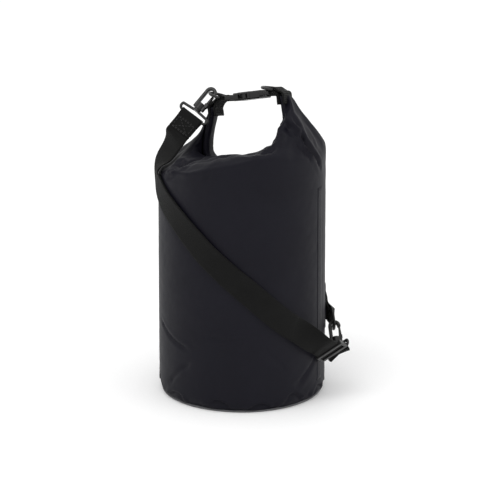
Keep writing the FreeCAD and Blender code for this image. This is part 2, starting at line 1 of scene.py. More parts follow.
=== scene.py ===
"""The looks of the roll-top rope bag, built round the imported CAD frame. Metres, +Z up, -Y the bag's front."""
import json
import math

import bmesh
import bpy
import numpy as np
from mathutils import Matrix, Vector
from mathutils.bvhtree import BVHTree


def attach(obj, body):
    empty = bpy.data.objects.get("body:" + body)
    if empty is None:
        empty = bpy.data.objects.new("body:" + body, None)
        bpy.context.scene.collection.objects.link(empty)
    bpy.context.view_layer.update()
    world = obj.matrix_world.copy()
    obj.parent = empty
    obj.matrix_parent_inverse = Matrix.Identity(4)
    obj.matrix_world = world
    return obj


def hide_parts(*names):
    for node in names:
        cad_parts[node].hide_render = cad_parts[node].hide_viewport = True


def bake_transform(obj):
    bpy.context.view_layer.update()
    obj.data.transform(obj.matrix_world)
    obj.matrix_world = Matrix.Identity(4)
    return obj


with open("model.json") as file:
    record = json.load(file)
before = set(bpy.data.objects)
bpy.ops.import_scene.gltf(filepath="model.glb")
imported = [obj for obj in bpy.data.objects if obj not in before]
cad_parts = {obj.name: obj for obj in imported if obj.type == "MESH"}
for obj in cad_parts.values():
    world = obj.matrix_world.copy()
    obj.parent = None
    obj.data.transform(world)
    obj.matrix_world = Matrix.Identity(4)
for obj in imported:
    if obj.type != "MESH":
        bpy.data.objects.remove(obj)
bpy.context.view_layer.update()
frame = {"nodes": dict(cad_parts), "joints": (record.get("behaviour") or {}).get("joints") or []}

MM = 0.001

# ---------------------------------------------------------------- sizes, as in the CAD part
BAG_R = 0.100
FLOOR_GAP = 0.0004
BASE_R = 0.0925              # where the base disc's weld meets the floor
MOUTH_TURN = math.radians(-22)
TAB_W, TAB_T = 0.025, 0.0016
SEW_HALF = 0.0105            # half the width of the sewing on that webbing
STRAP_W, STRAP_T = 0.030, 0.0016
STRAP_R = BAG_R + 0.0006 + STRAP_T / 2
ROD_R = 0.0017
BAR_R = 0.0020
BAR_X = 0.0265
RING_BAR_Z = -0.0105
UPPER_END_LEN = 0.022
TIP_T, TIP_H = 0.006, 0.014
LEFT_TIP, LEFT_RING_BAR = (-0.049, -0.006), (-0.0365, 0.0015)
RIGHT_TIP, RIGHT_RING_BAR = (0.041, -0.002), (0.0325, 0.0035)
ROLL_W, ROLL_T = 0.025, 0.010

M = np.array([math.cos(MOUTH_TURN), math.sin(MOUTH_TURN), 0.0])     # along the rolled mouth
Q = np.array([-math.sin(MOUTH_TURN), math.cos(MOUTH_TURN), 0.0])    # across it, towards the back
UP = np.array([0.0, 0.0, 1.0])

# the roll's middle line, along the mouth and up, from the left end's top to the right end's top
ROLL_PATH = np.array([
    (-33.6, 348.0), (-35.0, 339.0), (-37.5, 329.0), (-40.5, 316.0), (-42.5, 302.0), (-42.0, 290.0),
    (-36.5, 280.5), (-24.0, 275.5), (0.0, 274.0), (22.0, 277.0), (36.0, 284.0), (45.0, 296.0),
    (50.5, 312.0), (56.0, 328.0), (59.0, 343.0), (56.8, 358.0), (53.3, 371.0)]) * MM


# ---------------------------------------------------------------- frames from the record
def joint(name):
    return next(j for j in frame["joints"] if j["name"] == name)


def unit(v):
    v = np.asarray(v, float)
    return v / np.linalg.norm(v)


class Frame:
    """A local frame: z is kept exactly, x as nearly as it can be."""

    def __init__(self, origin, z, x):
        self.o = np.asarray(origin, float)
        self.z = unit(z)
        self.y = unit(np.cross(self.z, x))
        self.x = np.cross(self.y, self.z)

    def at(self, x, y, z):
        return self.o + self.x * x + self.y * y + self.z * z


def buckle_frame():
    along = unit(joint("buckle_release")["axis"])
    normal = unit(joint("front_arm_press")["axis"])
    roots = [np.array(joint(n)["pos_m"]) for n in ("front_arm_press", "back_arm_press")]
    return Frame((roots[0] + roots[1]) / 2 - along * 0.012, normal, along)


TOP = buckle_frame()
_gate = joint("upper_gate_open")
_swivel = joint("upper_hook_swivel")
UPPER = Frame(_swivel["pos_m"], _swivel["axis"], np.cross(-np.array(_gate["axis"]), _swivel["axis"]))
_swivel_low = joint("lower_hook_swivel")
LOWER_BAR_DIR = (0.608, -0.456, 0.649)      # along the lower strap ring's bar, as in the CAD part
LOWER_RING = Frame(_swivel_low["pos_m"], _swivel_low["axis"], LOWER_BAR_DIR)
_low = joint("lower_ring_pivot")
LOW_RING_BAR = np.array(_low["pos_m"])
LOW_RING_X = unit(_low["axis"])


# ---------------------------------------------------------------- mesh helpers
def link(name, verts, faces, material=None, uv=None):
    mesh = bpy.data.meshes.new(name)
    mesh.from_pydata([tuple(v) for v in verts], [], faces)
    mesh.update()
    if uv is not None:
        layer = mesh.uv_layers.new(name="cloth")
        index = np.empty(len(mesh.loops), np.int32)
        mesh.loops.foreach_get("vertex_index", index)
        layer.data.foreach_set("uv", np.asarray(uv, np.float32)[index].ravel())
    mesh.polygons.foreach_set("use_smooth", [True] * len(mesh.polygons))
    obj = bpy.data.objects.new(name, mesh)
    bpy.context.scene.collection.objects.link(obj)
    if material is not None:
        mesh.materials.append(material)
    return obj


def catmull(keys, steps):
    """Points on a Catmull-Rom curve through the keys; a key may hold more than three numbers."""
    keys = np.asarray(keys, float)
    made = []
    for i in range(len(keys) - 1):
        a, b, c, d = keys[max(i - 1, 0)], keys[i], keys[i + 1], keys[min(i + 2, len(keys) - 1)]
        for k in range(steps):
            t = k / steps
            made.append((b * 2 + (c - a) * t + (a * 2 - b * 5 + c * 4 - d) * t ** 2
                         + (b * 3 - a - c * 3 + d) * t ** 3) * 0.5)
    made.append(keys[-1])
    return np.array(made)


def lengths(points):
    return np.r_[0, np.cumsum(np.linalg.norm(np.diff(points, axis=0), axis=1))]


def evened(points, count):
    """The same line with its points evenly spaced."""
    points = np.asarray(points, float)
    s = lengths(points[:, :3] if points.shape[1] > 3 else points)
    want = np.linspace(0, s[-1], count)
    return np.stack([np.interp(want, s, points[:, k]) for k in range(points.shape[1])], axis=1)


def strip_frames(points, normals):
    """Across and outward directions at each point of a line."""
    along = np.gradient(points, axis=0)
    along /= np.linalg.norm(along, axis=1)[:, None]
    across = np.cross(along, normals)
    across /= np.linalg.norm(across, axis=1)[:, None]
    out = np.cross(across, along)
    return across, out


def webbing_profile(width, thickness, cup=0.0):
    """A flat woven strip's section: (across, out, u), with rounded selvedges that are a little thicker."""
    half, t = width / 2, thickness / 2
    columns = np.linspace(-1, 1, 13)
    lift = cup * (columns ** 2)
    edge = np.where(np.abs(columns) > 0.84, 1.12, 1.0)
    top = [(half * c * 0.985, t * e + l, half * c) for c, e, l in zip(columns, edge, lift)]
    low = [(half * c * 0.985, -t * e + l, half * c) for c, e, l in zip(columns, edge, lift)]
    return top + [(half, t * 0.35 + cup, half), (half, -t * 0.35 + cup, half)] + low[::-1] + [
        (-half, -t * 0.35 + cup, -half), (-half, t * 0.35 + cup, -half)]


def swept(name, points, normals, profile, material):
    """A closed section swept along a line. UV is in metres: across the strip and along it."""
    across, out = strip_frames(points, normals)
    v = lengths(points)
    verts, uv = [], []
    n = len(profile)
    for i, p in enumerate(points):
        for a, o, u in profile:
            verts.append(p + across[i] * a + out[i] * o)
            uv.append((u, v[i]))
    faces = tube_faces(len(points), n)
    faces.append(tuple(range(n))[::-1])
    faces.append(tuple((len(points) - 1) * n + k for k in range(n)))
    obj = link(name, verts, faces, material, uv)
    flip_if_inside_out(obj)
    return obj


def apply_modifier(obj):
    """The object's modifiers are worked into its mesh."""
    graph = bpy.context.evaluated_depsgraph_get()
    mesh = bpy.data.meshes.new_from_object(obj.evaluated_get(graph))
    obj.modifiers.clear()
    obj.data = mesh


def tube_faces(count, n, first=0):
    """The quads that join count rings of n points, numbered from first."""
    faces = []
    for i in range(count - 1):
        here, after = first + i * n, first + (i + 1) * n
        for k in range(n):
            m = (k + 1) % n
            faces.append((here + k, here + m, after + m, after + k))
    return faces


def flip_if_inside_out(obj):
    bm = bmesh.new()
    bm.from_mesh(obj.data)
    bmesh.ops.recalc_face_normals(bm, faces=bm.faces)
    bm.to_mesh(obj.data)
    bm.free()


def stitches(name, rows, material, length=0.0028, gap=0.0012, radius=0.00034):
    """Sewing thread: each row is (points, normal) and gets short raised stitches along it."""
    # along one stitch: (share of its length, lift in radii)
    stations = [(0.0, -0.55), (0.12, 0.1), (0.5, 0.5), (0.88, 0.1), (1.0, -0.55)]
    sides = 6
    verts, faces = [], []
    for points, normal in rows:
        points = np.asarray(points, float)
        s = lengths(points)
        start = gap / 2
        while start + length < s[-1]:
            ends = [np.array([np.interp(x, s, points[:, k]) for k in range(3)])
                    for x in (start, start + length * 0.5, start + length)]
            along = unit(ends[2] - ends[0])
            n = unit(np.asarray(normal if np.ndim(normal) == 1 else normal[0], float))
            side = unit(np.cross(along, n))
            n = np.cross(side, along)
            base = len(verts)
            for t, lift in stations:
                centre = ends[0] * (1 - t) + ends[2] * t + n * radius * lift
                scale = radius * (0.45 if t in (0.0, 1.0) else 1.0)
                for k in range(sides):
                    a = k * math.pi / 3
                    verts.append(centre + side * math.cos(a) * scale * 1.15 + n * math.sin(a) * scale)
            faces += tube_faces(len(stations), sides, base)
            last = base + (len(stations) - 1) * sides
            faces.append(tuple(base + k for k in range(sides))[::-1])
            faces.append(tuple(last + k for k in range(sides)))
            start += length + gap
    obj = link(name, verts, faces, material)
    flip_if_inside_out(obj)
    return obj


# ---------------------------------------------------------------- materials
class Nodes:
    """A short way to write a node tree."""

    def __init__(self, name):
        self.material = bpy.data.materials.new(name)
        self.material.use_nodes = True
        self.tree = self.material.node_tree
        self.shader = self.tree.nodes["Principled BSDF"]

    def add(self, kind, **values):
        node = self.tree.nodes.new(kind)
        for key, value in values.items():
            if hasattr(node, key):
                setattr(node, key, value)
            else:
                node.inputs[key.replace("_", " ")].default_value = value
        return node

    def join(self, out, into):
        self.tree.links.new(out, into)

    def place(self):
        return self.add("ShaderNodeTexCoord").outputs["Object"]

    def cloth_uv(self):
        """The cloth's UV map, as X across it and Y along it."""
        split = self.tree.nodes.new("ShaderNodeSeparateXYZ")
        self.join(self.add("ShaderNodeUVMap", uv_map="cloth").outputs["UV"], split.inputs[0])
        return split.outputs

    def finish(self, **values):
        """Sets plain numbers on the shader and gives the material."""
        for key, value in values.items():
            self.shader.inputs[key.replace("_", " ")].default_value = value
        return self.material

    def math(self, operation, a, b=None, c=None):
        node = self.tree.nodes.new("ShaderNodeMath")
        node.operation = operation
        for i, value in enumerate((a, b, c)):
            if value is None:
                continue
            if isinstance(value, (int, float)):
                node.inputs[i].default_value = value
            else:
                self.join(value, node.inputs[i])
        return node.outputs[0]

    def noise(self, vector, scale, detail=3.0, roughness=0.55):
        node = self.add("ShaderNodeTexNoise", Scale=scale, Detail=detail, Roughness=roughness)
        self.join(vector, node.inputs["Vector"])
        return node.outputs["Fac"]

    def ramp(self, value, stops):
        node = self.tree.nodes.new("ShaderNodeValToRGB")
        while len(node.color_ramp.elements) < len(stops):
            node.color_ramp.elements.new(0.5)
        for element, (position, color) in zip(node.color_ramp.elements, stops):
            element.position = position
            element.color = (*color, 1)
        self.join(value, node.inputs["Fac"])
        return node.outputs["Color"]

    def span(self, value, low, high):
        node = self.tree.nodes.new("ShaderNodeMapRange")
        self.join(value, node.inputs["Value"])
        node.inputs["To Min"].default_value = low
        node.inputs["To Max"].default_value = high
        return node.outputs["Result"]

    def bump(self, height, distance, strength=1.0, normal=None):
        node = self.add("ShaderNodeBump", Strength=strength, Distance=distance)
        self.join(height, node.inputs["Height"])
        if normal is not None:
            self.join(normal, node.inputs["Normal"])
        return node.outputs["Normal"]


def coated_fabric(name, color_low, color_high, rough_low, rough_high, sheen=0.04):
    """Coated polyester: a fine plain weave under a satin film, with faint rub marks and clouding."""
    n = Nodes(name)
    where = n.place()
    uv = n.cloth_uv()
    cloud = n.noise(where, 14.0, 4.0)
    grain = n.noise(where, 900.0, 2.0)
    rub = n.noise(where, 60.0, 5.0, 0.65)
    n.join(n.ramp(cloud, [(0.3, color_low), (0.7, color_high)]), n.shader.inputs["Base Color"])
    rough = n.math("ADD", n.span(rub, rough_low, rough_high), n.span(grain, -0.03, 0.03))
    n.join(rough, n.shader.inputs["Roughness"])
    thread = 2 * math.pi / 0.0009
    warp = n.math("SINE", n.math("MULTIPLY", uv["X"], thread))
    weft = n.math("SINE", n.math("MULTIPLY", uv["Y"], thread))
    weave = n.math("MULTIPLY", warp, weft)
    fine = n.bump(weave, 0.00003, 0.7)
    fine = n.bump(grain, 0.00005, 0.5, fine)
    crease = n.noise(where, 38.0, 3.0, 0.5)
    n.join(n.bump(crease, 0.0011, 0.35, fine), n.shader.inputs["Normal"])
    return n.finish(Sheen_Weight=sheen, Sheen_Roughness=0.35, Specular_IOR_Level=0.15)


def webbing(name, color_low, color_high):
    """Polypropylene webbing: ribs along it crossed by picks, matte, with a paler fuzz and painted shade in the
    weave's grooves.
    """
    n = Nodes(name)
    where = n.place()
    uv = n.cloth_uv()
    rib = 2 * math.pi / 0.0021
    pick = 2 * math.pi / 0.0013
    shift = n.math("MULTIPLY", n.math("SIGN", n.math("SINE", n.math("MULTIPLY", uv["X"], rib))), 0.8)
    ribs = n.math("ABSOLUTE", n.math("SINE", n.math("MULTIPLY", uv["X"], rib)))
    picks = n.math("SINE", n.math("ADD", n.math("MULTIPLY", uv["Y"], pick), shift))
    height = n.math("ADD", n.math("MULTIPLY", ribs, 0.7), n.math("MULTIPLY", picks, 0.5))
    fuzz = n.noise(where, 1500.0, 3.0, 0.7)
    cloud = n.noise(where, 40.0, 3.0)
    tone = n.math("ADD", n.math("MULTIPLY", fuzz, 0.5), n.math("MULTIPLY", cloud, 0.5))
    # painted shade: the colour is darker down in the weave's grooves and lighter on the tops of the ribs and
    # picks
    tone = n.math("MULTIPLY_ADD", height, 0.12, tone)
    n.join(n.ramp(tone, [(0.25, color_low), (0.85, color_high)]), n.shader.inputs["Base Color"])
    n.join(n.span(fuzz, 0.72, 0.92), n.shader.inputs["Roughness"])
    base = n.bump(height, 0.00022, 0.9)
    n.join(n.bump(fuzz, 0.00012, 0.5, base), n.shader.inputs["Normal"])
    return n.finish(Specular_IOR_Level=0.10, Sheen_Weight=0.03, Sheen_Roughness=0.6)


def plastic(name, color_low, color_high, rough_low, rough_high):
    """Moulded acetal: a fine spark-eroded grain, slightly uneven gloss."""
    n = Nodes(name)
    where = n.place()
    grain = n.noise(where, 2600.0, 2.0)
    flow = n.noise(where, 90.0, 3.0)
    n.join(n.ramp(flow, [(0.3, color_low), (0.75, color_high)]), n.shader.inputs["Base Color"])
    n.join(n.span(flow, rough_low, rough_high), n.shader.inputs["Roughness"])
    n.join(n.bump(grain, 0.00002, 0.5), n.shader.inputs["Normal"])
    return n.finish(Specular_IOR_Level=0.34)


def thread_material():
    """Twisted sewing thread."""
    n = Nodes("thread")
    where = n.place()
    twist = n.noise(where, 2200.0, 2.0)
    n.join(n.ramp(twist, [(0.3, (0.004, 0.004, 0.004)), (0.8, (0.011, 0.011, 0.011))]),
           n.shader.inputs["Base Color"])
    n.join(n.span(twist, 0.45, 0.7), n.shader.inputs["Roughness"])
    n.join(n.bump(twist, 0.00008, 0.6), n.shader.inputs["Normal"])
    return n.material


FABRIC = coated_fabric("coated_fabric", (0.0022, 0.0019, 0.0052), (0.0036, 0.0033, 0.0074), 0.50, 0.64, 0.02)
TAPE = coated_fabric("welded_tape", (0.0024, 0.0021, 0.0052), (0.0038, 0.0035, 0.0074), 0.46, 0.60, 0.02)
BASE = coated_fabric("base_fabric", (0.0032, 0.0029, 0.0058), (0.0050, 0.0047, 0.0080), 0.50, 0.64, 0.02)
# the weld lip's pale grey is a painted highlight: it stands in for the bright line of reflected floor light
# along the base edge
WELD_LIP_PAINTED_HIGHLIGHT = coated_fabric("weld_lip_painted_highlight", (0.085, 0.085, 0.090), (0.14, 0.14, 0.145), 0.34, 0.46)
WEB = webbing("webbing", (0.0018, 0.0018, 0.0017), (0.0062, 0.0062, 0.0060))
PLASTIC = plastic("moulded_plastic", (0.0046, 0.0046, 0.0046), (0.0074, 0.0074, 0.0075), 0.30, 0.42)
THREAD = thread_material()


# ---------------------------------------------------------------- bag shell
SHELL_AROUND = 132
SHELL_ROWS = 82
SHELL_H = 0.400              # fabric from the base weld to the roll
REST_SLACK = 0.30            # how far the cloth's cut is from the drawn shape towards the plain tube


def roll_at(t):
    """A point (m, z) at a share of the roll's length, and the normal that points out of its bend."""
    path = evened(catmull(ROLL_PATH, 4), 161)
    i = np.clip(t, 0, 1) * 160
    point = np.stack([np.interp(i, np.arange(161), path[:, k]) for k in (0, 1)], axis=-1)
    d = np.gradient(path, axis=0)
    d /= np.linalg.norm(d, axis=1)[:, None]
    direction = np.stack([np.interp(i, np.arange(161), d[:, k]) for k in (0, 1)], axis=-1)
    return point, np.stack([direction[..., 1], -direction[..., 0]], axis=-1)


# The shoulders' shape: at an angle round the tube from the mouth's right end, the height at shares of the way
# in from the wall to the roll, in millimetres. The first is where the upright wall ends.
SHOULDER_SHARES = (0.0, 0.06, 0.25, 0.50, 0.75, 0.92)
SHOULDERS = {
    0: (291, 301, 322, 345, 361, 370),
    28: (297, 307, 320, 330, 332, 334),
    60: (286, 293, 297, 296, 288, 283),
    78: (266, 271, 274, 275, 275, 276),
    95: (256, 261, 265, 268, 271, 274),
    130: (254, 260, 266, 272, 276, 278),
    158: (260, 269, 282, 292, 299, 309),
    180: (262, 274, 289, 302, 314, 331),
    205: (266, 277, 288, 297, 302, 307),
    230: (272, 281, 289, 295, 294, 289),
    250: (283, 293, 300, 304, 301, 292),
    273: (300, 308, 313, 315, 306, 290),
    298: (311, 318, 322, 321, 308, 289),
    318: (312, 319, 324, 327, 322, 309),
    338: (304, 313, 327, 341, 349, 347),
}


def periodic(angles, values, at):
    """Smooth interpolation round a full turn, in degrees."""
    angles = np.asarray(angles, float)
    values = np.asarray(values, float)
    wide_a = np.concatenate([angles - 360, angles, angles + 360])
    wide_v = np.concatenate([values, values, values])
    i = np.clip(np.searchsorted(wide_a, at, side="right") - 1, 1, len(wide_a) - 3)
    t = (at - wide_a[i]) / (wide_a[i + 1] - wide_a[i])
    v0, v1, v2, v3 = wide_v[i - 1], wide_v[i], wide_v[i + 1], wide_v[i + 2]
    slope1 = (v2 - v0) / (wide_a[i + 1] - wide_a[i - 1]) * (wide_a[i + 1] - wide_a[i])
    slope2 = (v3 - v1) / (wide_a[i + 2] - wide_a[i]) * (wide_a[i + 1] - wide_a[i])
    t2, t3 = t * t, t * t * t
    return (v1 * (2 * t3 - 3 * t2 + 1) + slope1 * (t3 - 2 * t2 + t) + v2 * (3 * t2 - 2 * t3)
            + slope2 * (t3 - t2))


def shell_start():
    """The shell before it settles: a tube, with its top drawn in to the roll. Rows run up from the base."""
    angle = 2 * math.pi * np.arange(SHELL_AROUND) / SHELL_AROUND       # 0 is the mouth's right end
    c, s = np.cos(angle), np.sin(angle)
    share = 1 - np.where(angle <= math.pi, angle, 2 * math.pi - angle) / math.pi
    point, normal = roll_at(share)
    side = np.sign(s) * np.minimum(1, np.abs(s) * 3.2) ** 0.6
    target = ((point[:, :1] + normal[:, :1] * 0.0045) * M + (point[:, 1:] + normal[:, 1:] * 0.0045) * UP
              + side[:, None] * 0.0105 * Q)
    out = c[:, None] * M + s[:, None] * Q
    keys = sorted(SHOULDERS)
    degrees = np.degrees(angle)
    heights = np.stack([periodic(keys, [SHOULDERS[k][i] * MM for k in keys], degrees)
                        for i in range(len(SHOULDER_SHARES))])
    rows = np.empty((SHELL_ROWS + 1, SHELL_AROUND, 3))
    rest = np.empty_like(rows)
    for i in range(SHELL_AROUND):
        top = [BAG_R * out[i] * (1 - k) + target[i] * k for k in SHOULDER_SHARES] + [target[i]]
        for k, z in enumerate(heights[:, i]):
            top[k] = top[k] * (1, 1, 0) + UP * z
        line = [BASE_R * out[i] + UP * 0.0006]
        for k in range(1, 8):
            t = k / 7
            line.append((BASE_R + (BAG_R - BASE_R) * math.sin(t * math.pi / 2)) * out[i]
                        + (0.0006 + 0.021 * (1 - math.cos(t * math.pi / 2))) * UP)
        line += [BAG_R * out[i] + UP * z for z in np.linspace(0.03, heights[0, i] - 0.012, 20)]
        line += list(catmull(top, 6))
        rows[:, i] = evened(np.array(line), SHELL_ROWS + 1)
        rest[:, i] = BAG_R * out[i] + UP * np.linspace(0, SHELL_H, SHELL_ROWS + 1)[:, None]
    return rows, rest


def shell_mesh():
    rows, rest = shell_start()
    count, around = rows.shape[:2]
    verts = rows.reshape(-1, 3)
    rest = rest * REST_SLACK + rows * (1 - REST_SLACK)
    noise = np.random.default_rng(11).normal(0, 0.00025, verts.shape)
    level = np.repeat(np.arange(count), around)
    free = (level > 4) & (level < count - 1)
    verts = verts + noise * free[:, None]
    faces = [(j * around + i, j * around + (i + 1) % around,
              (j + 1) * around + (i + 1) % around, (j + 1) * around + i)
             for j in range(count - 1) for i in range(around)]
    obj = link("bag_shell", verts, faces, FABRIC)
    return obj, rest.reshape(-1, 3), level


def roll_blocker():
    """A stand-in for the roll that the settling fabric can't pass."""
    t = np.linspace(0.02, 0.98, 60)
    point, normal = roll_at(t)
    verts = []
    for p, n in zip(point, normal):
        for q, o in ((-1, -1), (1, -1), (1, 1), (-1, 1)):
            verts.append((p[0] + n[0] * 0.0035 * o) * M + (p[1] + n[1] * 0.0035 * o) * UP + Q * 0.0095 * q)
    faces = tube_faces(len(t), 4) + [(3, 2, 1, 0), tuple(len(verts) - 4 + k for k in range(4))]
    obj = link("roll_blocker", verts, faces)
    flip_if_inside_out(obj)
    obj.modifiers.new("collide", "COLLISION")
    obj.collision.thickness_outer = 0.0008
    obj.collision.cloth_friction = 8
    return obj


def settle_shell(obj, rest, level, frames=34):
    """Cloth simulation: the tube is held at its weld and at the roll and eases against the air inside."""
    rows = level.max()
    height = level / rows
    shares, firmness = [0.0, 0.1, 0.5, 0.7, 0.8, 0.95], [0.5, 0.35, 0.35, 0.28, 0.12, 0.08]
    hold = np.where(level <= 3, 1.0, np.interp(height, shares, firmness))
    hold = np.where(level == rows, 1.0, hold)
    group = obj.vertex_groups.new(name="hold")
    for i, w in enumerate(hold):
        if w > 0:
            group.add([i], float(w), "REPLACE")
    obj.shape_key_add(name="Basis")
    key = obj.shape_key_add(name="rest")
    key.data.foreach_set("co", rest.ravel())
    key.value = 0
    obj.active_shape_key_index = 0
    modifier = obj.modifiers.new("cloth", "CLOTH")
    cloth = modifier.settings
    cloth.quality = 7
    cloth.mass = 0.2
    cloth.air_damping = 2.5
    cloth.tension_stiffness = 30
    cloth.compression_stiffness = 30
    cloth.shear_stiffness = 9
    cloth.bending_stiffness = 0.9
    cloth.tension_damping = 12
    cloth.compression_damping = 12
    cloth.shear_damping = 9
    cloth.bending_damping = 1.0
    cloth.vertex_group_mass = "hold"
    cloth.pin_stiffness = 1.2
    cloth.rest_shape_key = key
    cloth.use_pressure = True
    cloth.uniform_pressure_force = 5.0
    cloth.effector_weights.gravity = 0.25
    modifier.collision_settings.use_collision = True
    modifier.collision_settings.distance_min = 0.0012
    modifier.collision_settings.collision_quality = 2
    scene = bpy.context.scene
    scene.frame_start, scene.frame_end = 1, frames
    modifier.point_cache.frame_start, modifier.point_cache.frame_end = 1, frames
    for step in range(1, frames + 1):
        scene.frame_set(step)
    graph = bpy.context.evaluated_depsgraph_get()
    settled = bpy.data.meshes.new_from_object(obj.evaluated_get(graph))
    co = np.empty(len(settled.vertices) * 3)
    settled.vertices.foreach_get("co", co)
    bpy.data.meshes.remove(settled)
    obj.modifiers.remove(modifier)
    obj.shape_key_clear()
    obj.vertex_groups.clear()
    return co.reshape(-1, 3)


def bag_shell():
    obj, rest, level = shell_mesh()
    co = np.empty(len(obj.data.vertices) * 3)
    obj.data.vertices.foreach_get("co", co)
    co = co.reshape(-1, 3)
    blocker = roll_blocker()
    co = settle_shell(obj, rest, level)
    bpy.data.objects.remove(blocker)
    obj.data.vertices.foreach_set("co", co.ravel())
    obj.data.update()
    return obj


# ---------------------------------------------------------------- folds worked into the settled cloth
# Places on the bag, in degrees and millimetres. on_wall goes by the angle round the tube from
# the front and the height, on_front by the distance along the mouth and the height, and on_top looks
# straight down at the shoulders.
PUCKERS = 12                 # gathers in the base weld
PUCKER_START = -21           # angle of the first one
PUCKER_HALF = 10             # half the angle that one spans
PUCKER_H = 23                # height of the tallest
STRAP_REACH = 0.021          # cloth this near the strap's middle line lies under it
CAP_EASE = 0.001             # the cloth eases out to its widest radius over this distance


class Cloth:
    """The settled shell, asked for the point at a place on the bag."""

    def __init__(self, mesh):
        self.co, self.normals = vertex_data(mesh)
        if np.mean(np.sum(self.normals[:, :2] * self.co[:, :2], axis=1)) < 0:
            self.normals = -self.normals
        polygons = [tuple(p.vertices) for p in mesh.polygons]
        self.tree = BVHTree.FromPolygons([Vector(v) for v in self.co], polygons)

    def cast(self, start, direction):
        hit = self.tree.ray_cast(Vector(start), Vector(direction))[0]
        if hit is None:
            raise ValueError("no cloth at this place on the bag: %s" % (np.round(start, 4),))
        return np.array(hit)

    def on_wall(self, angle, height):
        a = math.radians(angle)
        out = np.array([math.sin(a), -math.cos(a), 0.0])
        return self.cast(out * BAG_R * 1.5 + UP * height * MM, -out)

    def on_front(self, along, height):
        return self.cast(M * along * MM - Q * BAG_R * 1.5 + UP * height * MM, Q)

    def on_top(self, x, y):
        return self.cast(np.array([x, y, 450.0]) * MM, -UP)


def folds_of(cloth):
    """Every fold as (points on the cloth, width, depth in mm). A valley's depth is positive."""
    wall, front, top = cloth.on_wall, cloth.on_front, cloth.on_top
    folds = [
        # right ear: the hollow beside the roll, the fold's edge outside it and the valley outside that
        ([front(65, 345), front(69, 340), front(75, 333)], 3.4, 5.0),
        ([front(67, 350), front(73, 343), front(80, 334), wall(51, 317), wall(57, 303), wall(66, 282)],
         2.3, -3.0),
        ([front(81, 330), wall(57, 317), wall(62, 304), wall(68, 286)], 3.0, 5.0),
        # where the front fold runs into the ear
        ([top(38, -52), top(34, -58), top(26, -66)], 3.2, 3.6),
        # the front fold's lower edge, climbing to the right
        ([wall(-60, 281), wall(-40, 288), wall(-19, 299), wall(6, 310), top(31, -70)], 3.0, -2.6),
        ([top(-60, -50), top(-30, -64), top(0, -70), top(22, -66)], 5.5, 2.0),
        # left shoulder: the valley behind the front fold, and the facets on the fold
        ([wall(-73, 287), top(-69, -40), top(-47, -26), top(-34, -25)], 4.0, 4.0),
        ([top(-56, -34), top(-46, -30), top(-36, -34)], 2.6, -1.6),
        ([wall(-72, 280), wall(-58, 281), top(-70, -58), top(-60, -58)], 2.6, -1.6),
        ([wall(-63, 275), wall(-52, 283), wall(-43, 285)], 2.6, 1.2),
        ([wall(-21, 300), wall(-22, 294), wall(-25, 287)], 2.6, 1.4),
        ([wall(-17, 301), wall(-21, 289)], 2.2, -1.0),
        ([top(-8, -70), top(2, -74), top(14, -72)], 3.0, 0.9),
    ]
    # slack creases low on the tube: start and end as (angle, height), the middle's hang, width and depth
    for a, b, hang, width, depth in (
            ((-74, 93), (-40, 72), 3, 2.8, 2.2), ((-74, 98), (-39, 77), 3, 2.4, -1.4),
            ((-24, 99), (0, 96), 2, 2.4, -1.5), ((-25, 94), (1, 92), 2, 2.8, 1.6),
            ((63, 57), (42, 27), 2, 3.4, 2.0), ((67, 53), (46, 24), 2, 3.2, -1.3),
            ((15, 79), (32, 47), -2, 3.0, 1.8), ((-37, 57), (-60, 22), -2, 3.0, 2.0),
            ((150, 82), (186, 66), 3, 2.8, 1.2), ((222, 60), (196, 30), 2, 3.0, 1.2)):
        line = [wall(a[0] + (b[0] - a[0]) * t, a[1] + (b[1] - a[1]) * t - hang * math.sin(math.pi * t))
                for t in np.linspace(0, 1, 7)]
        folds.append((line, width, depth))
    # the gathers: an arch over the weld, with a hollow under it
    rng = np.random.default_rng(4)
    for k in range(PUCKERS):
        centre = PUCKER_START + k * 360 / PUCKERS + rng.uniform(-5, 5)
        tall, half = PUCKER_H * rng.uniform(0.5, 1.0), PUCKER_HALF * rng.uniform(0.75, 1.25)
        lean = rng.uniform(-0.75, 0.75)
        for drop, width, depth, first, last in ((0.0, 2.0, -2.2, -1.0, 1.0), (4.5, 2.8, 2.4, -0.5, 0.8)):
            line = []
            for t in np.linspace(first, last, 9):
                rise = (1 - abs(t) ** 1.5) * (1 + lean * t) + 0.10 * math.sin(5 * t + k)
                line.append(wall(centre + half * t, 6 + (tall - drop - 6) * max(rise, 0)))
            folds.append((line, width * rng.uniform(0.85, 1.2), depth))
    return folds


# Fuller or drawn-in places on the right ear: (point, radius, move), millimetres.
SWELLS = [
    ((48, -34, 341), 16, (-9.0, -3.0, 0.0)),
    ((42, -40, 326), 14, (-6.0, -3.0, 0.0)),
    ((24, -53, 318), 14, (0.0, -1.0, 3.5)),
    ((92, -22, 322), 18, (2.0, -1.0, 1.0)),
]


def from_line(points, line):
    """Distance of each point to a line of points."""
    best = np.full(len(points), 1e9)
    for a, b in zip(line, line[1:]):
        if np.linalg.norm(b - a) > 1e-6:
            t = np.clip((points - a) @ (b - a) / ((b - a) @ (b - a)), 0, 1)
            best = np.minimum(best, np.linalg.norm(points - a - t[:, None] * (b - a), axis=1))
    return best


def vertex_data(mesh):
    co = np.empty(len(mesh.vertices) * 3)
    normals = np.empty(len(mesh.vertices) * 3)
    mesh.vertices.foreach_get("co", co)
    mesh.vertices.foreach_get("normal", normals)
    return co.reshape(-1, 3), normals.reshape(-1, 3)


def wavy(co, seed, size, count=5):
    """A smooth seeded ripple over space, between about -1 and 1."""
    rng = np.random.default_rng(seed)
    total = np.zeros(len(co))
    for _ in range(count):
        direction = rng.normal(0, 1, 3)
        direction *= 2 * math.pi / size * rng.uniform(0.6, 1.5) / np.linalg.norm(direction)
        total += np.sin(co @ direction + rng.uniform(0, 6.28))
    return total / count


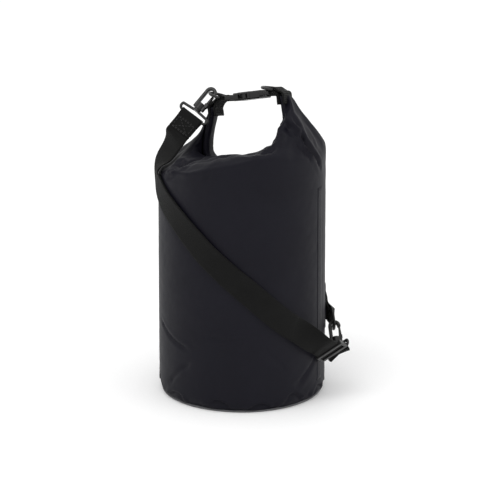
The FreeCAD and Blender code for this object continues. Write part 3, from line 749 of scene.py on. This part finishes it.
def fold_shell(obj):
    """Works the folds, the swells, a fine wrinkle and the strap's press into the settled shell."""
    mesh = obj.data
    cloth = Cloth(mesh)
    co, normals = cloth.co, cloth.normals
    push = np.zeros(len(co))
    for line, width, depth in folds_of(cloth):
        line = np.array(line)
        middle = line[len(line) // 2]
        way = np.array(cloth.tree.find_nearest(Vector(middle))[1])
        if np.dot(way[:2], middle[:2]) <= 0 and way[2] <= 0.5:
            way = -way
        d = from_line(co, line) / MM
        ends = np.minimum(np.linalg.norm(co - line[0], axis=1), np.linalg.norm(co - line[-1], axis=1)) / MM
        fade = np.clip(ends / (width * 2.2), 0.15, 1)
        shape = np.exp(-(d / width) ** 2) - 0.28 * np.exp(-((d - width * 2.1) / width) ** 2)
        push -= depth * fade * shape * np.clip(normals @ way * 3 + 0.6, 0, 1)
    move = normals * push[:, None] * MM
    for centre, radius, way in SWELLS:
        d = np.linalg.norm(co / MM - centre, axis=1)
        move += np.exp(-(d / radius) ** 2)[:, None] * np.array(way) * MM
    height = co[:, 2]
    upper = np.clip((height - 0.24) / 0.05, 0, 1)
    lower = np.clip((0.11 - height) / 0.06, 0, 1)
    wrinkle = wavy(co * (1, 1, 0.6), 3, 0.045) * 0.0005 + wavy(co, 8, 0.020) * 0.00018
    move += normals * (wrinkle * (1 + upper + lower * 0.9))[:, None]
    co = co + move
    r = np.hypot(co[:, 0], co[:, 1])
    under_strap = np.full(len(co), False)
    for p in strap_line()[0][20:, :3]:
        under_strap |= np.linalg.norm(co - p, axis=1) < STRAP_REACH
    limit = np.where(under_strap, BAG_R - 0.0006, BAG_R - 0.0002)
    over = np.maximum(r - (limit - CAP_EASE), 0)
    eased = np.where(over > 0, limit - CAP_EASE + CAP_EASE * (1 - np.exp(-over / CAP_EASE)), r)
    co[:, :2] *= (eased / np.maximum(r, 1e-6))[:, None]
    co[:, 2] = np.maximum(co[:, 2], FLOOR_GAP)
    mesh.vertices.foreach_set("co", co.ravel())
    mesh.update()


def roll_section():
    """The flattened roll's section, (across, thickness): a spiral of folded fabric as one closed outline."""
    turns, layer, cloth = 3.0, 0.0019, 0.00125
    outer_q, outer_t = ROLL_W / 2, ROLL_T / 2
    line = []
    for k in range(int(turns * 24) + 1):
        a = 2 * math.pi * k / 24 + math.pi * 0.62
        shrink = layer * k / 24
        q, t = outer_q - shrink * 1.15, outer_t - shrink
        c, s = math.cos(a), math.sin(a)
        line.append((q * math.copysign(abs(c) ** 0.62, c), t * math.copysign(abs(s) ** 0.80, s)))
    line = np.array(line)
    d = np.gradient(line, axis=0)
    d /= np.linalg.norm(d, axis=1)[:, None]
    inner = line + np.stack([-d[:, 1], d[:, 0]], axis=1) * cloth
    return np.vstack([line, inner[::-1]])


def rolled_mouth():
    """The mouth folded over and over on its stiffeners, swept along the loop, with pinches where it bends."""
    section = roll_section()
    path = evened(catmull(ROLL_PATH, 6), 110)
    d = np.gradient(path, axis=0)
    d /= np.linalg.norm(d, axis=1)[:, None]
    bend = np.abs(np.gradient(np.arctan2(d[:, 1], d[:, 0])))
    bend = np.convolve(bend, np.ones(7) / 7, "same")
    rng = np.random.default_rng(5)
    wave = np.convolve(rng.normal(0, 1, len(path)), np.ones(4) / 4, "same")
    v = lengths(path)
    verts, uv = [], []
    n = len(section)
    end = np.minimum(np.arange(len(path)), np.arange(len(path))[::-1]) / 9.0
    for i, (m, z) in enumerate(path):
        inward = np.array([-d[i, 1], d[i, 0]])
        flat = np.clip(end[i], 0, 1)
        thick = 0.62 + 0.38 * flat
        ripple = wave[i] * min(1, 14 * bend[i]) * 0.0012
        for k, (q, t) in enumerate(section):
            sway = ripple * (0.4 + 0.6 * math.cos(q / ROLL_W * 5 + i * 0.4))
            offset = t * thick + sway
            verts.append((m + inward[0] * offset) * M + (z + inward[1] * offset) * UP
                         + Q * q * (0.95 + 0.05 * flat))
            uv.append((k * 0.0012, v[i]))
    faces = tube_faces(len(path), n)
    half = n // 2
    for row in (0, (len(path) - 1) * n):
        for k in range(half - 1):
            faces.append((row + k, row + k + 1, row + n - 2 - k, row + n - 1 - k))
    obj = link("rolled_mouth", verts, faces, FABRIC, uv)
    flip_if_inside_out(obj)
    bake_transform(obj)
    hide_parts("closure_roll", "stiffener_inner", "stiffener_outer", "ear_tip_left", "ear_tip_right")
    return obj


# ---------------------------------------------------------------- closure tabs
def tab_path(tip, ring, bar_x):
    """Webbing sewn over the roll's end, out over the ring's bar, round the buckle's bar and back: (x, z)."""
    s = math.copysign(1, bar_x - tip[0])
    bar = np.array([bar_x, 0.0])
    ring = np.array(ring)
    tip = np.array(tip)
    to_bar = unit(bar - ring)
    lift = np.array([-to_bar[1], to_bar[0]]) * s
    from_tip = unit(ring - tip)
    lift_in = np.array([-from_tip[1], from_tip[0]]) * s
    side = TIP_T / 2 + TAB_T / 2
    ring_r = ROD_R + TAB_T / 2 + 0.0002
    bar_r = BAR_R + TAB_T / 2 + 0.0001
    points = [tip + (-s * side, -TIP_H + 0.001), tip + (-s * side, -0.007), tip + (-s * side, -0.001),
              tip + (-s * side * 0.55, 0.0016), tip + (s * 0.001, 0.0026),
              (tip + ring) / 2 + lift_in * 0.0019, ring + (lift + lift_in) / 2 * ring_r,
              (ring + bar) / 2 + lift * 0.0014]
    for k in range(7):
        a = math.pi / 2 - math.pi * k / 6
        points.append(bar + np.array([s * math.cos(a), math.sin(a)]) * bar_r)
    points += [(ring + bar) / 2 - lift * 0.0014, ring - (lift + lift_in) / 2 * ring_r,
               (tip + ring) / 2 - lift_in * 0.0022, tip + (s * side, -0.0035), tip + (s * side, -0.008),
               tip + (s * side, -TIP_H + 0.001)]
    return evened(catmull(points, 8), 150)


def closure_tab(name, tip, ring, bar_x, body):
    path = tab_path(tip, ring, bar_x)
    points = np.array([TOP.at(x, 0, z) for x, z in path])
    d = np.gradient(path, axis=0)
    s = math.copysign(1, bar_x - tip[0])
    normals = np.array([TOP.x * -dz * s + TOP.z * dx * s for dx, dz in d])
    obj = swept(name, points, normals, webbing_profile(TAB_W, TAB_T), WEB)
    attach(obj, body)
    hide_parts("closure_" + name.replace("webbing_", ""))
    rows = []
    v = lengths(points)
    across, out = strip_frames(points, normals)
    outward = 1 if np.dot(out[3], TOP.x) * -s > 0 else -1
    first, last = 0.0015, 0.0125
    for i in range(7):
        at = first + (last - first) * i / 6
        for place in (at, v[-1] - at):
            k = int(np.searchsorted(v, place))
            ends = [points[k] + across[k] * w + out[k] * outward * TAB_T / 2 for w in (-SEW_HALF, SEW_HALF)]
            rows.append((np.linspace(*ends, 2), out[k] * outward))
    thread = stitches(name + "_stitches", rows, THREAD, length=0.0019, gap=0.0004)
    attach(thread, body)


# ---------------------------------------------------------------- shoulder strap
# The slider's middle and the strap's directions there repeat the CAD part's values.
SLIDER_CENTRE = np.array([106.3, -47.6, 60.6]) * MM
STRAP_END_DIR = unit((0.402, 0.787, -0.467))
STRAP_END_ACROSS = unit((0.805, -0.062, 0.588))
STRAIGHT = 0.027             # of the strap above the slider's middle


def on_bag(angle, z, r=STRAP_R):
    a = math.radians(angle)
    out = np.array([math.sin(a), -math.cos(a), 0])
    return np.array([*(out * r * (1, 1, 0) + UP * z * MM), *out])


def key(point, normal):
    return np.array([*point, *unit(normal)])


def strap_line():
    """The strap's stations from the upper ring's bar to the slider: point and normal, six numbers each."""
    front = UPPER.y * (-1 if UPPER.y[1] > 0 else 1)
    start = UPPER.at(0, 0, RING_BAR_Z - UPPER_END_LEN - 0.0009)
    keys = [key(start, front), key(start - UPPER.z * 0.007, front),
            key((-0.0845, 0.0, 0.2995), front + (-0.7, 0, 0.1)),
            key((-0.095, -0.003, 0.283), (-0.93, -0.5, 0.25))]
    keys += [on_bag(angle, z) for angle, z in (
        (-82, 268), (-74, 258), (-63, 247), (-52, 235.8), (-41, 221.5), (-32, 208), (-23.6, 194.3),
        (-10, 173.5), (3.4, 153), (14, 135.5), (24.7, 118), (34, 104.5))]
    end_normal = unit(np.cross(STRAP_END_DIR, STRAP_END_ACROSS))
    keys.append(on_bag(41, 95.5, STRAP_R + 0.002))
    keys.append(key(SLIDER_CENTRE - STRAP_END_DIR * STRAIGHT, end_normal))
    body = catmull(keys, 8)
    straight = [key(SLIDER_CENTRE + STRAP_END_DIR * k, end_normal) for k in (-0.018, -0.009, 0.0, 0.009)]
    return np.vstack([body, straight]), front


def shoulder_strap():
    line, front = strap_line()
    bar = UPPER.at(0, 0, RING_BAR_Z)
    down = -UPPER.z
    r = ROD_R + 0.0003 + STRAP_T / 2
    gap = STRAP_T * 0.53
    near_side = ((0.0245, gap), (0.018, gap), (0.011, gap), (0.0065, 0.0016))
    far_side = ((0.0065, 0.0016), (0.011, gap), (0.017, gap), (0.0215, gap * 0.9))
    loop = [bar + down * k + front * o for k, o in near_side]
    for k in range(9):
        a = math.pi * k / 8
        loop.append(bar + front * r * math.cos(a) - down * r * math.sin(a) + down * 0.0008)
    loop += [bar + down * k - front * o for k, o in far_side]
    loop = catmull(loop, 5)
    d = np.gradient(loop, axis=0)
    normals = np.cross(UPPER.x, d)
    if np.dot(normals[2], front) < 0:
        normals = -normals
    head = np.hstack([loop, normals / np.linalg.norm(normals, axis=1)[:, None]])
    ease = np.exp(-lengths(line[:, :3]) / 0.012)
    line[:, :3] -= front * (gap * 0.9 * ease)[:, None]
    obj = swept("shoulder_strap", line[:, :3], line[:, 3:], webbing_profile(STRAP_W, STRAP_T, 0.0003), WEB)
    top = swept("strap_upper_loop", head[:, :3], head[:, 3:], webbing_profile(STRAP_W, STRAP_T), WEB)
    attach(top, "upper_swivel")
    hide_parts("strap_upper_end")
    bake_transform(obj)
    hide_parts("strap")
    rows = []
    lift = front * (gap + STRAP_T / 2)
    top_row, bottom_row, half = 0.0085, 0.0235, 0.0115
    for w in (-half, half):
        start = bar + down * top_row + UPPER.x * w + lift
        rows.append(([start, bar + down * bottom_row + UPPER.x * w + lift], front))
        rows.append(([start, bar + down * bottom_row - UPPER.x * w + lift], front))
    for k in (top_row, 0.0098, 0.0222, bottom_row):
        rows.append(([bar + down * k - UPPER.x * half + lift, bar + down * k + UPPER.x * half + lift], front))
    thread = stitches("strap_upper_stitches", rows, THREAD)
    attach(thread, "upper_swivel")


def strap_lower_loop():
    """The strap's lower end round the lower ring's bar. It stops 6 mm short of shoulder_strap."""
    bar = LOWER_RING.at(0, 0, RING_BAR_Z)
    end_normal = unit(np.cross(STRAP_END_DIR, STRAP_END_ACROSS))
    back = unit(-STRAP_END_DIR)
    outward = unit(end_normal - LOWER_RING.x * np.dot(end_normal, LOWER_RING.x))
    r = ROD_R + 0.0003 + STRAP_T / 2
    path = [bar + back * 0.0052 + outward * 0.0017]
    for k in range(11):
        a = math.pi * k / 10
        path.append(bar + outward * r * math.cos(a) - back * r * math.sin(a))
    path.append(bar + back * 0.0052 - outward * 0.0017)
    path = catmull(path, 5)
    d = np.gradient(path, axis=0)
    normals = np.cross(LOWER_RING.x, d)
    if np.dot(normals[0], outward) < 0:
        normals = -normals
    obj = swept("strap_lower_loop", path, normals, webbing_profile(STRAP_W, STRAP_T), WEB)
    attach(obj, "lower_swivel")
    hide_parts("strap_lower_end")


# ---------------------------------------------------------------- seams, base and anchor
def wall_piece(name, degrees_low, degrees_high, z_low, z_high, lift, thick, material, columns, rows_n,
               replaces, round_corner=0.0):
    """A patch or strip that lies on the shell: its grid is dropped on the settled surface."""
    graph = bpy.context.evaluated_depsgraph_get()
    tree = BVHTree.FromObject(shell, graph)
    front, back, uv = [], [], []
    for j in range(rows_n + 1):
        z = z_low + (z_high - z_low) * j / rows_n
        from_end = min(z - z_low, z_high - z)
        pull = 0.0
        if round_corner and from_end < round_corner:
            pull = round_corner - math.sqrt(max(round_corner ** 2 - (round_corner - from_end) ** 2, 0))
        for i in range(columns + 1):
            share = i / columns
            half = math.radians(degrees_high - degrees_low) / 2
            mid = math.radians(degrees_high + degrees_low) / 2
            angle = mid + (share * 2 - 1) * (half - pull / BAG_R)
            out = np.array([math.sin(angle), -math.cos(angle), 0])
            hit = tree.ray_cast(Vector(out * 0.14 + UP * z), Vector(-out))[0]
            r = BAG_R if hit is None else math.hypot(hit.x, hit.y)
            edge = min(share, 1 - share) * columns
            fall = 0.35 if edge < 0.5 or j in (0, rows_n) else 1.0
            front.append(out * (r + lift + thick * fall) + UP * z)
            back.append(out * (r + lift - 0.0003) + UP * z)
            uv.append((angle * BAG_R, z))
    n = columns + 1
    total = len(front)
    faces = []
    for j in range(rows_n):
        for i in range(columns):
            a, b, c, d = j * n + i, j * n + i + 1, (j + 1) * n + i + 1, (j + 1) * n + i
            faces.append((a, b, c, d))
            faces.append((total + d, total + c, total + b, total + a))
    rim = (list(range(n)) + [j * n + n - 1 for j in range(1, rows_n + 1)]
           + [rows_n * n + i for i in range(n - 2, -1, -1)] + [j * n for j in range(rows_n - 1, 0, -1)])
    for k, a in enumerate(rim):
        b = rim[(k + 1) % len(rim)]
        faces.append((a, total + a, total + b, b))
    obj = link(name, front + back, faces, material, uv + uv)
    flip_if_inside_out(obj)
    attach(obj, "bag")
    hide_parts(*replaces)
    return obj


def lathe(name, outline, material, around=132):
    """A closed outline of (r, z) turned about the bag's axis."""
    verts, uv, faces = [], [], []
    n = len(outline)
    for i in range(around):
        a = 2 * math.pi * i / around
        for r, z in outline:
            verts.append((r * math.cos(a), r * math.sin(a), z))
            uv.append((r * math.cos(a), r * math.sin(a)))
    for i in range(around):
        j = (i + 1) % around
        for k in range(n):
            m = (k + 1) % n
            faces.append((i * n + k, j * n + k, j * n + m, i * n + m))
    obj = link(name, verts, faces, material, uv)
    flip_if_inside_out(obj)
    return obj


def base():
    """The base disc and the welded lip that joins it to the tube."""
    under = [(0.0002, 0.0007), (0.03, 0.0006), (0.06, 0.0003), (0.080, 0.0001), (0.0905, 0.0)]
    over = [(0.0905, 0.0007), (0.080, 0.0009), (0.06, 0.0011), (0.03, 0.0014), (0.0002, 0.0015)]
    disc = lathe("base_panel", under + over, BASE)
    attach(disc, "bag")
    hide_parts("base_disc")
    profile = [(0.0885, 0.0002), (0.0950, 0.0002), (0.0962, 0.0009), (0.0958, 0.0019), (0.0940, 0.0026),
               (0.0915, 0.0018), (0.0885, 0.0015)]
    # the lip itself is real; its pale grey colour is a painted highlight for the bright line along the base
    # edge
    lip = lathe("base_weld", profile, WELD_LIP_PAINTED_HIGHLIGHT)
    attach(lip, "bag")
    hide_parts("base_seam")


def lower_anchor():
    """The welded patch and the webbing tab that hold the lower ring."""
    middle, half = 109, 17.2        # the patch's place and half width, in degrees round the tube
    wall_piece("anchor_patch_cloth", middle - half, middle + half, 0.069, 0.129, 0.0003, 0.0009, BASE, 24, 24,
               ("anchor_patch",), 0.009)
    bar = LOW_RING_BAR
    start = math.degrees(math.atan2(bar[0], -bar[1]))
    out0 = unit((bar[0], bar[1], 0))
    tail = [on_bag(start + 4.4 * k, bar[2] / MM + 5.2 * k, BAG_R + 0.0028) for k in range(1, 5)]
    away = unit(tail[1][:3] - bar)
    normal = unit(np.cross(LOW_RING_X, away))
    if np.dot(normal, out0) < 0:
        normal = -normal
    r = ROD_R + 0.0002 + TAB_T / 2
    gap = TAB_T * 0.52
    path = [key(p[:3] + p[3:] * gap, p[3:]) for p in tail[::-1]]
    for k in range(9):
        a = math.pi * k / 8
        point = bar + normal * r * math.cos(a) - away * r * math.sin(a)
        path.append(key(point, normal * math.cos(a) - away * math.sin(a)))
    path += [key(p[:3] - p[3:] * gap, -p[3:]) for p in tail]
    path = catmull(path, 5)
    obj = swept("anchor_webbing", path[:, :3], path[:, 3:], webbing_profile(TAB_W, TAB_T), WEB)
    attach(obj, "bag")
    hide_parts("anchor_tab")
    rows = []
    line = path[:16]
    along, out = strip_frames(line[:, :3], line[:, 3:])
    face = line[:, :3] + out * TAB_T * 0.52
    if np.dot(out[2], out0) < 0:
        face = line[:, :3] - out * TAB_T * 0.52
    for i in (1, 3, 11, 13):
        rows.append(([face[i] - along[i] * SEW_HALF, face[i] + along[i] * SEW_HALF], line[i, 3:]))
    for w in (-SEW_HALF, SEW_HALF):
        rows.append((face[1:14] + along[1:14] * w, line[6, 3:]))
        rows.append(([face[1] + along[1] * w, face[7], face[13] - along[13] * w], line[6, 3:]))
    thread = stitches("anchor_stitches", rows, THREAD)
    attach(thread, "bag")


def camera():
    data = bpy.data.cameras.new("camera")
    data.lens = 301.5
    data.sensor_width = 36.0
    obj = bpy.data.objects.new("camera", data)
    bpy.context.scene.collection.objects.link(obj)
    elevation = math.radians(18)
    target = Vector((0.00955, 0.0, 0.1716))
    direction = Vector((0, -math.cos(elevation), math.sin(elevation)))
    obj.location = target + direction * 5.0
    obj.rotation_euler = (-direction).to_track_quat("-Z", "Y").to_euler()
    bpy.context.scene.camera = obj


def area_light(name, place, size, energy, target=(0, 0, 0.18)):
    data = bpy.data.lights.new(name, "AREA")
    data.shape = "RECTANGLE"
    data.size, data.size_y = size
    data.energy = energy
    obj = bpy.data.objects.new(name, data)
    obj.location = place
    obj.rotation_euler = (Vector(target) - Vector(place)).to_track_quat("-Z", "Y").to_euler()
    bpy.context.scene.collection.objects.link(obj)


def studio():
    world = bpy.data.worlds.new("studio")
    world.use_nodes = True
    background = world.node_tree.nodes["Background"]
    background.inputs["Color"].default_value = (1, 1, 1, 1)
    background.inputs["Strength"].default_value = 1.06
    bpy.context.scene.world = world
    bpy.context.scene.view_settings.view_transform = "Standard"
    floor_mat = Nodes("paper_floor")
    grain = floor_mat.noise(floor_mat.place(), 300.0)
    floor_mat.join(floor_mat.ramp(grain, [(0.2, (0.93, 0.93, 0.93)), (0.8, (0.96, 0.96, 0.96))]),
                   floor_mat.shader.inputs["Base Color"])
    paper = floor_mat.finish(Roughness=0.9, Specular_IOR_Level=0.1)
    size = 6.0
    floor = link("floor", [(-size, -size, 0), (size, -size, 0), (size, size, 0), (-size, size, 0)],
                 [(0, 1, 2, 3)], paper)
    area_light("key", (-0.7, -1.0, 2.3), (1.4, 1.4), 16)
    area_light("fill", (1.6, -0.9, 1.2), (1.0, 1.6), 3)


camera()
studio()
shell = bag_shell()
subdivision = shell.modifiers.new("smooth", "SUBSURF")
subdivision.levels = subdivision.render_levels = 1
bpy.context.view_layer.objects.active = shell
apply_modifier(shell)
fold_shell(shell)
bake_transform(shell)
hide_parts("body_tube", "shoulder_collar")
rolled_mouth()
closure_tab("webbing_tab_left", LEFT_TIP, LEFT_RING_BAR, -BAR_X, "bag")
closure_tab("webbing_tab_right", RIGHT_TIP, RIGHT_RING_BAR, BAR_X, "right_ear")
shoulder_strap()
strap_lower_loop()
base()
wall_piece("side_weld", 64, 72, 0.022, 0.262, 0.00005, 0.00035, TAPE, 8, 60, ("side_seam",))
lower_anchor()
for node in frame["nodes"].values():
    node.data.materials.clear()
    node.data.materials.append(PLASTIC)
